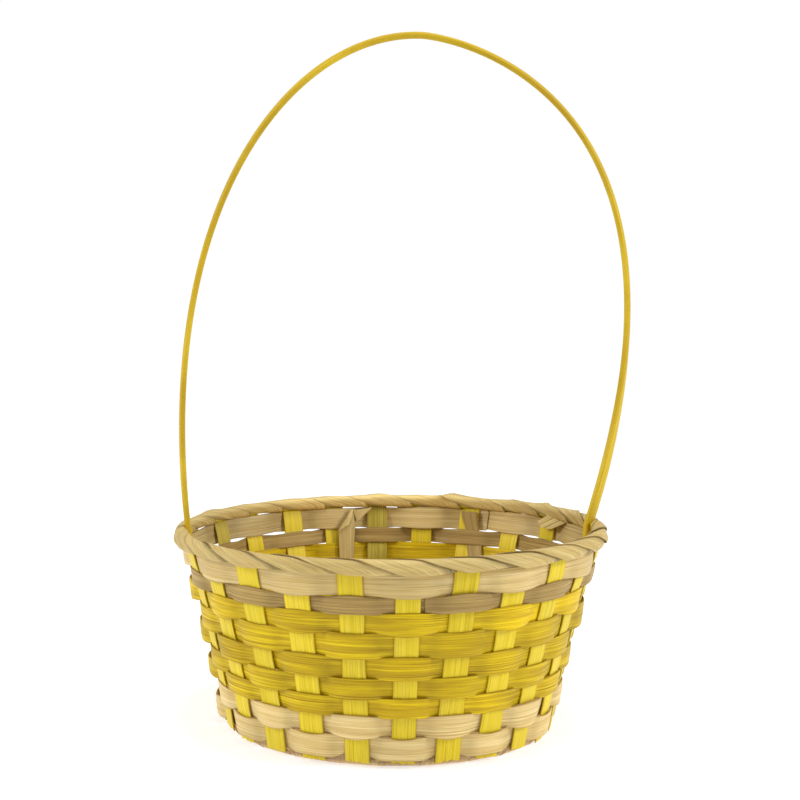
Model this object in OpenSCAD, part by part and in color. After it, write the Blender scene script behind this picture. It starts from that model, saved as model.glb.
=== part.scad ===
// Round easter basket woven from flat bamboo splints, with one high bent handle.
// Frame: origin at the middle of the base, on the floor. +Z is up, -Y is the front.
// All lengths are in mm. Stakes are counted from the left end, going round past the front.

/* [Body] */
// Outside diameter over the wrapped rim
rim_outer_diameter = 250; // [180:2:360]
// Height from the floor to the top of the wrapped rim
rim_height = 116.2; // [80:0.2:200]
// Diameter of the wall, along the middle of the stakes, at the floor
foot_diameter = 188.2; // [120:0.2:300]

/* [Stakes] */
// Number of upright stakes, a multiple of four
stake_count = 24; // [16:4:32]
// Width of a stake
stake_width = 13; // [6:0.5:18]
// Thickness of a stake
stake_thickness = 0.9; // [0.4:0.1:2]
// Turn of stake 6 away from the front, in degrees
first_turn = 4.5; // [0:0.5:15]

/* [Weavers] */
// Thickness of a weaver
weaver_thickness = 0.9; // [0.4:0.1:1.5]
// Height of a plain row
row_height = 11.2; // [6:0.1:16]
// Free height left between one row and the next
row_gap = 0.4; // [0.2:0.1:2]
// How much taller than a plain row each row is, from the rim down
row_extras = [0.4, -2.4, -1.2, 2.2, 0.2, -0.8, -0.8, -0.6, 1.2]; // [-3:0.1:3]

/* [Rim] */
// Height of the two rim hoops
rim_hoop_height = 6; // [4:0.2:14]
// Thickness of the outer rim hoop
rim_outer_thickness = 3.9; // [1:0.1:6]
// Thickness of the inner rim hoop
rim_inner_thickness = 1.6; // [1:0.1:6]
// Thickness of the two strips wound round the rim
wrap_thickness = 0.7; // [0.3:0.1:1.5]

/* [Base] */
// Width of a base strip in the mat
base_strip_width = 20.4; // [10:0.2:30]
// Thickness of a base strip
base_strip_thickness = 0.6; // [0.3:0.1:1.2]
// Space from one base strip to the next
base_strip_pitch = 22; // [12:0.5:34]
// Height that a base strip is turned up inside the wall
turn_up_height = 28; // [10:0.2:60]

/* [Handle] */
// Height of the top of the handle above the floor
handle_top = 397; // [250:1:600]
// Width of the handle strip
handle_width = 6; // [3:0.5:20]
// Thickness of the handle strip above the rim
handle_thickness = 3.2; // [1:0.1:5]
// Thickness of the pared ends that go down inside the weave
handle_end_thickness = 1.2; // [0.6:0.1:3]
// Height of the lower ends of the handle above the floor
handle_end_height = 63; // [30:1:100]
// How far the left side of the arch swings out
handle_left_swing = 140; // [120:1:220]
// How far the right side of the arch swings out
handle_right_swing = 170; // [120:1:220]

/* [Hidden] */

dye_yellow = [0.86, 0.75, 0.17];
dye_gold = [0.74, 0.60, 0.12];
natural = [0.78, 0.68, 0.48];
natural_grey = [0.66, 0.54, 0.38];

pitch_angle = 360 / stake_count;
slip = 0.1;
half_stake = stake_thickness / 2;
half_weaver = weaver_thickness / 2;

// Rim bundle: two hoops with the stake ends between them, and the winding over all
wrap_gap = 0.35;
rim_shell = wrap_gap + wrap_thickness;
hoop_top = rim_height - rim_shell;
hoop_bottom = hoop_top - rim_hoop_height;
hoop_outer = rim_outer_diameter / 2 - rim_shell;
stake_flat_rise = 0.25;
rim_stake_radius = hoop_outer - rim_outer_thickness - slip - stake_flat_rise - half_stake;
outer_hoop_inner = hoop_outer - rim_outer_thickness;
inner_hoop_outer = rim_stake_radius - half_stake - slip;
inner_hoop_inner = inner_hoop_outer - rim_inner_thickness;
hoop_chamfer = 0.7;

// Wall: it opens upward in a slight hollow curve, and stands upright inside the rim
bend_height = hoop_bottom - 1;
hollow = 1.5;
function wall_r(z) = let (t = min(max(z, 0), bend_height) / bend_height)
    foot_diameter / 2 + (rim_stake_radius - foot_diameter / 2) * t - hollow * 4 * t * (1 - t);

// Direction of an angle, counted from the front toward the right
function out(a) = [sin(a), -cos(a), 0];
function along(a) = [cos(a), sin(a), 0];
function stake_angle(k) = first_turn + (k - 6) * pitch_angle;

// A closed skin over rings that all have the same number of corners
module skin(rings) {
    n = len(rings);
    m = len(rings[0]);
    polyhedron(
        points = [for (r = rings) for (p = r) p],
        faces = concat(
            [[for (j = [m - 1 : -1 : 0]) (n - 1) * m + j]],
            [for (i = [n - 2 : -1 : 0]) for (j = [m - 1 : -1 : 0])
                [i * m + (j + 1) % m, (i + 1) * m + j, (i + 1) * m + (j + 1) % m]],
            [for (i = [n - 2 : -1 : 0]) for (j = [m - 1 : -1 : 0])
                [i * m + j, (i + 1) * m + j, i * m + (j + 1) % m]],
            [[for (j = [0 : m - 1]) j]]
        ),
        convexity = 12
    );
}

// ---------------------------------------------------------------- stakes
stake_low = 1.6;
stake_top = hoop_top - 0.6;
stake_levels = [stake_low, 9, 22, 38, 56, 74, 92, bend_height, stake_top];
module stake(k) {
    a = stake_angle(k);
    skin([for (z = stake_levels) let (r = wall_r(z), w = stake_width / 2, h = half_stake)
        [
            out(a) * (r + h) - along(a) * w + [0, 0, z],
            out(a) * (r + h) + along(a) * w + [0, 0, z],
            out(a) * (r - h) + along(a) * w + [0, 0, z],
            out(a) * (r - h) - along(a) * w + [0, 0, z]
        ]]);
}

// ---------------------------------------------------------------- weavers
// Rows are counted from the rim down
row_heights = [for (extra = row_extras) row_height + extra];
first_row_top = hoop_bottom - rim_shell - 0.5;
function row_top(i) = i == 1 ? first_row_top :
    row_top(i - 1) - row_heights[i - 2] - (i == 2 ? row_gap + 0.5 : row_gap);
function row_bottom(i) = row_top(i) - row_heights[i - 1];

// A row passes outside one stake and inside the next, and each row swaps with the last
function passes_outside(k, row) = (k + row) % 2 != 0;
function has_leg(k) = k % stake_count == 0 || k % stake_count == stake_count / 2;
out_swing = half_stake + half_weaver + slip + 0.25;
in_swing = half_stake + half_weaver + slip + 0.1;
function swing(k, row) = passes_outside(k, row) ? out_swing :
    -(has_leg(k) && row <= 4 ? in_swing + handle_end_thickness + slip :
      row >= 8 ? in_swing + base_strip_thickness + slip : in_swing);

// Each row is one strip that goes round once and laps over its own start for two stakes
lap_step = weaver_thickness + slip;
lap_stakes = 2;
edge_angle = 4.25;
steps = 4 * (stake_count + lap_stakes);
function step_angle(j) = floor(j / 4) * pitch_angle +
    (j % 4 == 0 ? 0 : j % 4 == 1 ? pitch_angle / 2 - edge_angle :
     j % 4 == 2 ? pitch_angle / 2 : pitch_angle / 2 + edge_angle);
function step_offset(j, k, row) =
    let (lap = j <= 4 * lap_stakes ? -1 : j >= 4 * stake_count ? 1 : 0,
         s = swing(k, row), bow = j % 4 == 2 ? 0.2 : 0)
    j % 4 == 0 ? lap * lap_step / 2 :
    s > 0 ? s + bow + (lap > 0 ? lap_step : 0) : s - bow - (lap < 0 ? lap_step : 0);
module weaver(row, start) {
    zl = row_bottom(row);
    zh = row_top(row);
    skin([for (j = [0 : steps])
        let (k = start + 1 + floor(j / 4),
             a = stake_angle(start) + pitch_angle / 2 + step_angle(j),
             d = step_offset(j, k % stake_count, row), rl = wall_r(zl) + d, rh = wall_r(zh) + d)
        [
            out(a) * (rh - half_weaver) + [0, 0, zh],
            out(a) * (rh + half_weaver) + [0, 0, zh],
            out(a) * (rl + half_weaver) + [0, 0, zl],
            out(a) * (rl - half_weaver) + [0, 0, zl]
        ]]);
}

// ---------------------------------------------------------------- rim
module rim_hoop(ri, ro, joint) {
    c = hoop_chamfer;
    rotate([0, 0, joint]) rotate_extrude(angle = 359.4, $fn = 144) polygon([
        [ri + c, hoop_bottom], [ro - c, hoop_bottom], [ro, hoop_bottom + c], [ro, hoop_top - c],
        [ro - c, hoop_top], [ri + c, hoop_top], [ri, hoop_top - c], [ri, hoop_bottom + c]]);
}

// Eight corners round the rim bundle, let out by d: they run down outside, then up inside
function bundle(d) = let (c = hoop_chamfer + 0.586 * d, ri = inner_hoop_inner - d,
        ro = hoop_outer + d, zb = hoop_bottom - d, zt = hoop_top + d) [
    [ro - c, zt], [ro, zt - c], [ro, (zt + zb) / 2], [ro, zb + c], [ro - c, zb],
    [ri + c, zb], [ri, zb + c], [ri, (zt + zb) / 2], [ri, zt - c], [ri + c, zt]];
// Part of a full turn of the winding gone by at each corner, and the half spread of the strip
turn_share = [0.000, 0.067, 0.200, 0.333, 0.383, 0.417, 0.467, 0.600, 0.733, 0.800];
turn_spread = [0.470, 0.470, 0.470, 0.340, 0.230, 0.230, 0.340, 0.470, 0.470, 0.470];
wrap_turns = stake_count / 2;
under_share = (turn_share[4] + turn_share[5]) / 2;
module rim_wrap(strand) {
    inner = bundle(wrap_gap);
    outer = bundle(rim_shell);
    first = 5;
    last = 10 * wrap_turns + 4;
    skin([for (i = [first : last])
        let (q = i % 10, turn = floor(i / 10), h = turn_spread[q] * pitch_angle,
             a = stake_angle(strand - 1) + pitch_angle / 2
                 + (turn + turn_share[q] - under_share) * 2 * pitch_angle)
        [
            for (s = [-1, 0, 1]) out(a + s * h) * inner[q][0] + [0, 0, inner[q][1]],
            for (s = [1, 0, -1]) out(a + s * h) * outer[q][0] + [0, 0, outer[q][1]]
        ]]);
}

// ---------------------------------------------------------------- base
// Six strips each way in plain weave. Every end is turned up beside a stake.
strips_each_way = stake_count / 4;
mat_half = base_strip_thickness / 2 + 0.05;
mat_middle = mat_half + base_strip_thickness / 2;
cross_half = base_strip_width / 2 + 0.2;
turn_radius = 3.5;
tab_offset = half_stake + slip + base_strip_thickness / 2;
tab_radius = wall_r(mat_middle + turn_radius) - tab_offset;
mat_turn = first_turn - pitch_angle / 2;

// One corner ring of a base strip: middle point, sideways direction, up direction, half width
function strip_ring(p, side, up, w) = let (h = base_strip_thickness / 2) [
    p - side * w - up * h, p + side * w - up * h, p + side * w + up * h, p - side * w + up * h];
// Local angle of the stake that the end of strip i meets
function end_angle(i) = (i - (strips_each_way - 1) / 2) * pitch_angle;
// The turned-up end of strip i, from the mat to the tip
function strip_end(i) = let (b = end_angle(i), e = [cos(b), sin(b), 0], side = [-sin(b), cos(b), 0],
        w = base_strip_width / 2 - 1.2) concat(
    [for (t = [0 : 30 : 90])
        strip_ring(e * (tab_radius - turn_radius + turn_radius * sin(t))
                   + [0, 0, mat_middle + turn_radius * (1 - cos(t))],
                   side, [0, 0, 1] * cos(t) - e * sin(t),
                   t > 60 ? 5.5 : t > 30 ? min(w, 7.5) : w)],
    [for (z = [12, 20, turn_up_height])
        strip_ring(e * (wall_r(z) - tab_offset) + [0, 0, z], side, -e, 5.3)]);
function mirror_ring(r) = [for (q = [1, 0, 3, 2]) [-r[q][0], r[q][1], r[q][2]]];
function turned(p, a) = [p[0] * cos(a) - p[1] * sin(a), p[0] * sin(a) + p[1] * cos(a), p[2]];
module base_strip(i, way) {
    y = (i - (strips_each_way - 1) / 2) * base_strip_pitch;
    right = strip_end(i);
    count = len(right);
    rings = concat(
        [for (q = [count - 1 : -1 : 0]) mirror_ring(right[q])],
        [for (j = [0 : strips_each_way - 1]) for (s = [-1, 1])
            let (x = (j - (strips_each_way - 1) / 2) * base_strip_pitch + s * cross_half,
                 up = (i + j + way * strips_each_way) % 2 == 0 ? mat_half : -mat_half)
            strip_ring([x, y, mat_middle + up], [0, 1, 0], [0, 0, 1], base_strip_width / 2)],
        right);
    skin([for (r = rings) [for (p = r) turned(p, mat_turn + 90 * way)]]);
}

// ---------------------------------------------------------------- handle
leg_radius = inner_hoop_inner - rim_shell - 0.6 - handle_thickness / 2;
arch_start = rim_height + 2.2;
// The arch leans to the right. Its curve is pulled sideways at the top and down at each side.
arch_top = handle_top - handle_thickness / 2;
arch_middle = 7;
left_pull = 84;
left_drop = 131;
right_pull = 105;
right_drop = 120;
function bezier(a, b, c, d, t) =
    a * pow(1 - t, 3) + b * 3 * t * pow(1 - t, 2) + c * 3 * t * t * (1 - t) + d * pow(t, 3);
arch_steps = 22;
// Below row 1 the leg lies on its stake, under rows 2 and 4. It then comes in, clear of the rim.
pared_top = row_top(2) + 0.4;
function left_leg() = concat(
    [for (i = [0 : 4]) let (z = handle_end_height + (pared_top - handle_end_height) * i / 4)
        [-(wall_r(z) - half_stake - slip - handle_end_thickness / 2), z]],
    [[-leg_radius, first_row_top - 0.5]]);
function right_leg() = [for (p = left_leg()) [-p[0], p[1]]];
function left_arch() = concat([[-leg_radius, arch_start - 3]], [for (i = [0 : arch_steps])
    bezier([-leg_radius, arch_start],
    [-handle_left_swing, handle_top - left_drop], [arch_middle - left_pull, arch_top],
    [arch_middle, arch_top], i / arch_steps)]);
function right_arch() = concat([for (i = [arch_steps - 1 : -1 : 0])
    bezier([leg_radius, arch_start],
    [handle_right_swing, handle_top - right_drop], [arch_middle + right_pull, arch_top],
    [arch_middle, arch_top], i / arch_steps)], [[leg_radius, arch_start - 3]]);
module handle_strip() {
    legs = right_leg();
    path = concat(left_leg(), left_arch(), right_arch(),
                  [for (i = [len(legs) - 1 : -1 : 0]) legs[i]]);
    n = len(path);
    plane = out(stake_angle(stake_count / 2));
    side = along(stake_angle(stake_count / 2)) * (handle_width / 2);
    skin([for (i = [0 : n - 1])
        let (d = path[min(i + 1, n - 1)] - path[max(i - 1, 0)],
             u = [-d[1], d[0]] / norm(d),
             t = (path[i][1] <= pared_top ? handle_end_thickness : handle_thickness) / 2,
             a = path[i] - u * t, b = path[i] + u * t)
        [
            plane * a[0] + [0, 0, a[1]] - side, plane * a[0] + [0, 0, a[1]] + side,
            plane * b[0] + [0, 0, b[1]] + side, plane * b[0] + [0, 0, b[1]] - side
        ]]);
}

// ---------------------------------------------------------------- pieces
module stake_01() { color(dye_yellow) stake(1); }
module stake_02() { color(dye_yellow) stake(2); }
module stake_03() { color(dye_yellow) stake(3); }
module stake_04() { color(dye_yellow) stake(4); }
module stake_05() { color(dye_yellow) stake(5); }
module stake_06() { color(dye_yellow) stake(6); }
module stake_07() { color(dye_yellow) stake(7); }
module stake_08() { color(dye_yellow) stake(8); }
module stake_09() { color(dye_yellow) stake(9); }
module stake_10() { color(dye_yellow) stake(10); }
module stake_11() { color(dye_yellow) stake(11); }
module stake_12() { color(dye_yellow) stake(12); }
module stake_13() { color(dye_yellow) stake(13); }
module stake_14() { color(dye_yellow) stake(14); }
module stake_15() { color(dye_yellow) stake(15); }
module stake_16() { color(dye_yellow) stake(16); }
module stake_17() { color(dye_yellow) stake(17); }
module stake_18() { color(dye_yellow) stake(18); }
module stake_19() { color(dye_yellow) stake(19); }
module stake_20() { color(dye_yellow) stake(20); }
module stake_21() { color(dye_yellow) stake(21); }
module stake_22() { color(dye_yellow) stake(22); }
module stake_23() { color(dye_yellow) stake(23); }
module stake_24() { color(dye_yellow) stake(0); }
module weaver_1() { color(natural) weaver(1, 15); }
module weaver_2() { color(natural_grey) weaver(2, 5); }
module weaver_3() { color(dye_gold) weaver(3, 19); }
module weaver_4() { color(dye_gold) weaver(4, 10); }
module weaver_5() { color(dye_gold) weaver(5, 1); }
module weaver_6() { color(dye_gold) weaver(6, 14); }
module weaver_7() { color(dye_gold) weaver(7, 20); }
module weaver_8() { color(natural) weaver(8, 8); }
module weaver_9() { color(natural) weaver(9, 17); }
module rim_hoop_outer() { color(dye_yellow) rim_hoop(outer_hoop_inner, hoop_outer, 112); }
module rim_hoop_inner() { color(dye_yellow) rim_hoop(inner_hoop_inner, inner_hoop_outer, 40); }
module rim_wrap_1() { color(natural) rim_wrap(1); }
module rim_wrap_2() { color(natural) rim_wrap(2); }
module base_a1() { color(natural) base_strip(0, 0); }
module base_a2() { color(natural) base_strip(1, 0); }
module base_a3() { color(natural) base_strip(2, 0); }
module base_a4() { color(natural) base_strip(3, 0); }
module base_a5() { color(natural) base_strip(4, 0); }
module base_a6() { color(natural) base_strip(5, 0); }
module base_b1() { color(natural) base_strip(0, 1); }
module base_b2() { color(natural) base_strip(1, 1); }
module base_b3() { color(natural) base_strip(2, 1); }
module base_b4() { color(natural) base_strip(3, 1); }
module base_b5() { color(natural) base_strip(4, 1); }
module base_b6() { color(natural) base_strip(5, 1); }
module handle() { color(dye_gold) handle_strip(); }

stake_01();
stake_02();
stake_03();
stake_04();
stake_05();
stake_06();
stake_07();
stake_08();
stake_09();
stake_10();
stake_11();
stake_12();
stake_13();
stake_14();
stake_15();
stake_16();
stake_17();
stake_18();
stake_19();
stake_20();
stake_21();
stake_22();
stake_23();
stake_24();
weaver_1();
weaver_2();
weaver_3();
weaver_4();
weaver_5();
weaver_6();
weaver_7();
weaver_8();
weaver_9();
rim_hoop_outer();
rim_hoop_inner();
rim_wrap_1();
rim_wrap_2();
base_a1();
base_a2();
base_a3();
base_a4();
base_a5();
base_a6();
base_b1();
base_b2();
base_b3();
base_b4();
base_b5();
base_b6();
handle();
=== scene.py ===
"""Looks of a round splint basket. Every splint is built again, finer, at its place in the CAD frame.

Lengths are in millimetres and angles in degrees until a mesh is made. An angle is counted from the
front (-Y) toward the right (+X), and a place along the wall in stakes: stake 6 is at the front.
"""

import math

import bpy
import numpy as np
from mathutils import Matrix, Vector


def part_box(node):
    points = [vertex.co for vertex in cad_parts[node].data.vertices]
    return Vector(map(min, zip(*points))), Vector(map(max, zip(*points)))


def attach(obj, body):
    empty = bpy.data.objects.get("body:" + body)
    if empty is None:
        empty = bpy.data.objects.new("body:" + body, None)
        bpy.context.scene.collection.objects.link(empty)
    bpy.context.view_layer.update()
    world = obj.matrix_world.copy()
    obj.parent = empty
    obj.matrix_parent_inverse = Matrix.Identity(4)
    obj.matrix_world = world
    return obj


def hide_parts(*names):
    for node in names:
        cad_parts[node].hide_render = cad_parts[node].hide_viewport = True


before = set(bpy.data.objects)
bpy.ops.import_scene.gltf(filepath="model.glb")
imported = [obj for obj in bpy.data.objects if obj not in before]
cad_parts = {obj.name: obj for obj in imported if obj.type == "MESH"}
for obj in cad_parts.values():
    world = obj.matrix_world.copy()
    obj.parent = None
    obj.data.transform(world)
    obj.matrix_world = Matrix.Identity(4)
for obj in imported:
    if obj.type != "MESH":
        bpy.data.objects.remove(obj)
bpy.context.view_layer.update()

MM = 0.001
UP = np.array([0.0, 0.0, 1.0])
STAKES = 24
PITCH = 360 / STAKES
FRONT_STAKE = STAKES // 4
# Angle of the stake at the front, before the stakes crept
FIRST_TURN = 4.5


# ---------------------------------------------------------------- sizes from the frame
def span(node):
    """The lowest and highest corner of a CAD node, in millimetres."""
    low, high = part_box(node)
    return np.array(low) / MM, np.array(high) / MM


rim_low, rim_high = span("rim_wrap_1")
hoop_low, hoop_high = span("rim_hoop_outer")
inner_low, inner_high = span("rim_hoop_inner")
handle_low, handle_high = span("handle")
RIM_TOP = rim_high[2]
RIM_OUTER = (rim_high[1] - rim_low[1]) / 2
HOOP_TOP = hoop_high[2]
HOOP_BOTTOM = hoop_low[2]
HOOP_OUTER = (hoop_high[1] - hoop_low[1]) / 2
INNER_HOOP_OUTER = (inner_high[1] - inner_low[1]) / 2
HANDLE_TOP = handle_high[2]
HANDLE_END = handle_low[2]
ROWS = range(1, 10)
ROW_SPAN = {row: (span(f"weaver_{row}")[0][2], span(f"weaver_{row}")[1][2]) for row in ROWS}

STAKE_THICKNESS = 0.9
STAKE_WIDTH = 13.0
WEAVER_THICKNESS = 0.9
BASE_THICKNESS = 0.6
WRAP_THICKNESS = 0.55
RIM_INNER_THICKNESS = 1.6
RIM_OUTER_THICKNESS = 3.9
HANDLE_THICKNESS = 3.2
# Clearance between two pieces that touch
SLIP = 0.1
FOOT_RADIUS = 94.1
RIM_STAKE_RADIUS = INNER_HOOP_OUTER + SLIP + STAKE_THICKNESS / 2
BEND_HEIGHT = HOOP_BOTTOM - 1
# How far the wall curves in, halfway up
HOLLOW = 1.5
# The stakes have crept toward the front, and those at the back left by some more
CREEP_TURN = 0.4
CREEP_TO_FRONT = 1.4
CREPT_STAKES = (17, 18, 19, 20, 21, 22, 24)
CREPT_BY = (0.0, -0.4, -1.6, -3.0, -2.4, -3.4, 0.0)


def wall_radius(z):
    """Radius of the wall along the middle of the stakes, at height z."""
    t = np.clip(z, 0, BEND_HEIGHT) / BEND_HEIGHT
    return FOOT_RADIUS + (RIM_STAKE_RADIUS - FOOT_RADIUS) * t - HOLLOW * 4 * t * (1 - t)


WALL_SLOPE = (RIM_STAKE_RADIUS - FOOT_RADIUS) / BEND_HEIGHT


def out(a):
    """Direction away from the axis at angle a."""
    r = np.radians(a)
    return np.stack([np.sin(r), -np.cos(r), np.zeros_like(r)], axis=-1)


def along(a):
    """Direction round the wall at angle a."""
    r = np.radians(a)
    return np.stack([np.cos(r), np.sin(r), np.zeros_like(r)], axis=-1)


def stake_angle(k):
    """Angle at stake place k."""
    k = np.asarray(k, dtype=float)
    a = FIRST_TURN + (k - FRONT_STAKE) * PITCH
    crept = np.interp(k % STAKES, CREPT_STAKES, CREPT_BY)
    return a + CREEP_TURN - CREEP_TO_FRONT * np.sin(np.radians(a)) + crept


# How much the rim rises for each millimetre to the right and to the back, and how far left it has moved
RISE_TO_RIGHT = 0.0233
RISE_TO_BACK = 0.004
RIM_TO_LEFT = 0.8
# The wall bulges at the right, just below the rim: how far, at what height, and how widely
BULGE = 2.2
BULGE_HEIGHT = 98.0
BULGE_SPREAD = 11.0


def settled(points):
    """The whole weave leans: the rim has sunk a little on the left, and the wall bulges at the right."""
    p = np.array(points, dtype=float)
    to_right = np.clip(p[..., 0] / RIM_OUTER, 0, 1) ** 4
    p[..., 0] += BULGE * to_right * np.exp(-((p[..., 2] - BULGE_HEIGHT) / BULGE_SPREAD) ** 2)
    rise = p[..., 2] / RIM_TOP
    p[..., 2] += (RISE_TO_RIGHT * p[..., 0] + RISE_TO_BACK * p[..., 1]) * rise
    p[..., 0] -= RIM_TO_LEFT * rise * rise
    return p


# ---------------------------------------------------------------- small helpers
def wander(rng, where, step, size):
    """A smooth random curve over the places in where, with a knot every step."""
    knots = np.arange(where.min() - 2 * step, where.max() + 3 * step, step)
    values = rng.normal(0, size, len(knots))
    x = (where - knots[0]) / step
    i = np.floor(x).astype(int)
    f = x - i
    f = f * f * (3 - 2 * f)
    return values[i] * (1 - f) + values[i + 1] * f


def smooth(x):
    """0 below 0, 1 above 1, and smooth between."""
    x = np.clip(x, 0, 1)
    return x * x * (3 - 2 * x)


def unit(v):
    """Vectors of length 1."""
    return v / np.linalg.norm(v, axis=-1, keepdims=True)


def lengths(points):
    """Distance along a line of points, from its first."""
    steps = np.linalg.norm(np.diff(points, axis=0), axis=1)
    return np.concatenate([[0], np.cumsum(steps)])


# ---------------------------------------------------------------- strips
# Below 1, the columns of a splint stand closer together near its edges
COLUMN_POWER = 0.8
# The outermost columns are this part of the splint's thickness, which rounds its edges
EDGE_THICKNESS = 0.62


def both_faces(grid):
    """Values on the upper face of a strip, repeated on its lower face, in the order of its corners."""
    return np.concatenate([grid, grid[:, ::-1]], axis=1).reshape(-1)


class Skin:
    """A closed strip between two grids of points: rings of corners along it, each once round the strip.

    u and v measure the strip along and across. place runs from -1 to 1 across it.
    """

    def __init__(self, top, bottom, u, v, place, tone):
        rings, columns = top.shape[:2]
        corners = 2 * columns
        self.points = np.concatenate([top, bottom[:, ::-1]], axis=1).reshape(-1, 3)
        self.u = both_faces(u)
        self.v = both_faces(v)
        self.edge = both_faces(np.broadcast_to(np.abs(place), (rings, columns)))
        self.tone = both_faces(np.broadcast_to(tone, (rings, columns)))
        i = np.arange(rings - 1)[:, None] * corners
        j = np.arange(corners)[None, :]
        after = (j + 1) % corners
        sides = np.stack([i + corners + j, i + corners + after, i + after, i + j], axis=-1).reshape(-1, 4)
        caps = []
        for start, flip in ((0, True), ((rings - 1) * corners, False)):
            for c in range(columns - 1):
                quad = [start + c, start + c + 1, start + corners - 2 - c, start + corners - 1 - c]
                caps.append(quad[::-1] if flip else quad)
        self.faces = np.concatenate([sides, np.array(caps)])


def splint(centre, side, normal, lower, upper, thickness, columns=9, crown=0.15, tone=1.0,
           start_cut=None, end_cut=None, relief=0.0, seed=0):
    """A flat strip along the points in centre, lower and upper wide on the two sides of it."""
    rng = np.random.default_rng(seed)
    n = len(centre)
    place = np.linspace(-1, 1, columns)
    place = np.sign(place) * np.abs(place) ** COLUMN_POWER
    across = np.where(place < 0, place * lower[:, None], place * upper[:, None])
    thick = np.broadcast_to(thickness, (n,))[:, None]
    half = thick / 2 * np.where(np.abs(place) == 1, EDGE_THICKNESS, 1.0)
    arch = crown * (1 - place ** 2) + relief * rng.normal(0, 1, columns)
    tangent = unit(np.gradient(centre, axis=0))
    shift = np.zeros((n, columns))
    if start_cut is not None:
        shift[0] -= start_cut(place, rng)
    if end_cut is not None:
        shift[-1] += end_cut(place, rng)
    flat = centre[:, None, :] + side[:, None, :] * across[..., None] + tangent[:, None, :] * shift[..., None]
    top = flat + normal[:, None, :] * (arch + half)[..., None]
    bottom = flat + normal[:, None, :] * (arch - half)[..., None]
    u = lengths(centre)[:, None] + shift
    return Skin(top, bottom, u, across, place, np.broadcast_to(tone, (n,))[:, None])


def grid_splint(top, bottom, half_width, tone=1.0):
    """A strip whose upper and lower faces are given as grids of points."""
    rings, columns = top.shape[:2]
    middle = (top + bottom) / 2
    middle_line = middle[:, columns // 2]
    # The fibres keep their place across the strip, and are measured along its middle
    tangent = unit(np.gradient(middle_line, axis=0))
    from_middle = middle - middle_line[:, None, :]
    u = lengths(middle_line)[:, None] + np.einsum("nmk,nk->nm", from_middle, tangent)
    place = np.linspace(-1, 1, columns)
    v = np.broadcast_to(half_width * place, (rings, columns))
    return Skin(top, bottom, u, v, place, tone)


def straight_cut(size, slant=0.0):
    """An end cut across the strip, slanting by slant from edge to edge, with a rough edge."""
    return lambda v, rng: slant * v + rng.normal(0, size, len(v))


def frayed_cut(size, slant):
    """An end whose fibres have broken at different lengths."""
    return lambda v, rng: slant * v + size * (rng.random(len(v)) - 0.5) * 2


# Multiples of the golden ratio, less their whole part, spread the pieces' noise evenly
GOLDEN = 0.6180339
SHARP_ANGLE = 40


def make_piece(name, skins, material, nodes=(), settle=True, seed=0):
    """Joins strips into one mesh object that rides on the basket and stands for its CAD nodes."""
    points = np.concatenate([s.points for s in skins])
    starts = np.cumsum([0] + [len(s.points) for s in skins[:-1]])
    faces = np.concatenate([s.faces + start for s, start in zip(skins, starts)])
    if settle:
        points = settled(points)
    mesh = bpy.data.meshes.new(name)
    mesh.from_pydata((points * MM).tolist(), [], faces.tolist())
    corner = np.empty(len(mesh.loops), dtype=np.int32)
    mesh.loops.foreach_get("vertex_index", corner)
    u = np.concatenate([s.u for s in skins]) * MM
    v = np.concatenate([s.v for s in skins]) * MM
    layer = mesh.uv_layers.new(name="fibre")
    layer.data.foreach_set("uv", np.stack([u[corner], v[corner]], axis=-1).astype(np.float32).ravel())
    fields = {"edge": np.concatenate([s.edge for s in skins]),
              "tone": np.concatenate([s.tone for s in skins]),
              "piece": np.full(len(points), (seed * GOLDEN) % 1.0)}
    for field, values in fields.items():
        attribute = mesh.attributes.new(field, "FLOAT", "POINT")
        attribute.data.foreach_set("value", values.astype(np.float32))
    mesh.shade_smooth()
    mesh.set_sharp_from_angle(angle=math.radians(SHARP_ANGLE))
    mesh.materials.append(material)
    piece = bpy.data.objects.new(name, mesh)
    bpy.context.scene.collection.objects.link(piece)
    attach(piece, "root")
    if nodes:
        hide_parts(*nodes)


# ---------------------------------------------------------------- materials
def linear(*rgb):
    """A colour as a screen shows it, 0 to 255, as the linear colour that a shader takes."""
    c = np.array(rgb) / 255
    low = c / 12.92
    high = ((c + 0.055) / 1.055) ** 2.4
    return (*np.where(c <= 0.04045, low, high), 1.0)


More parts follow.
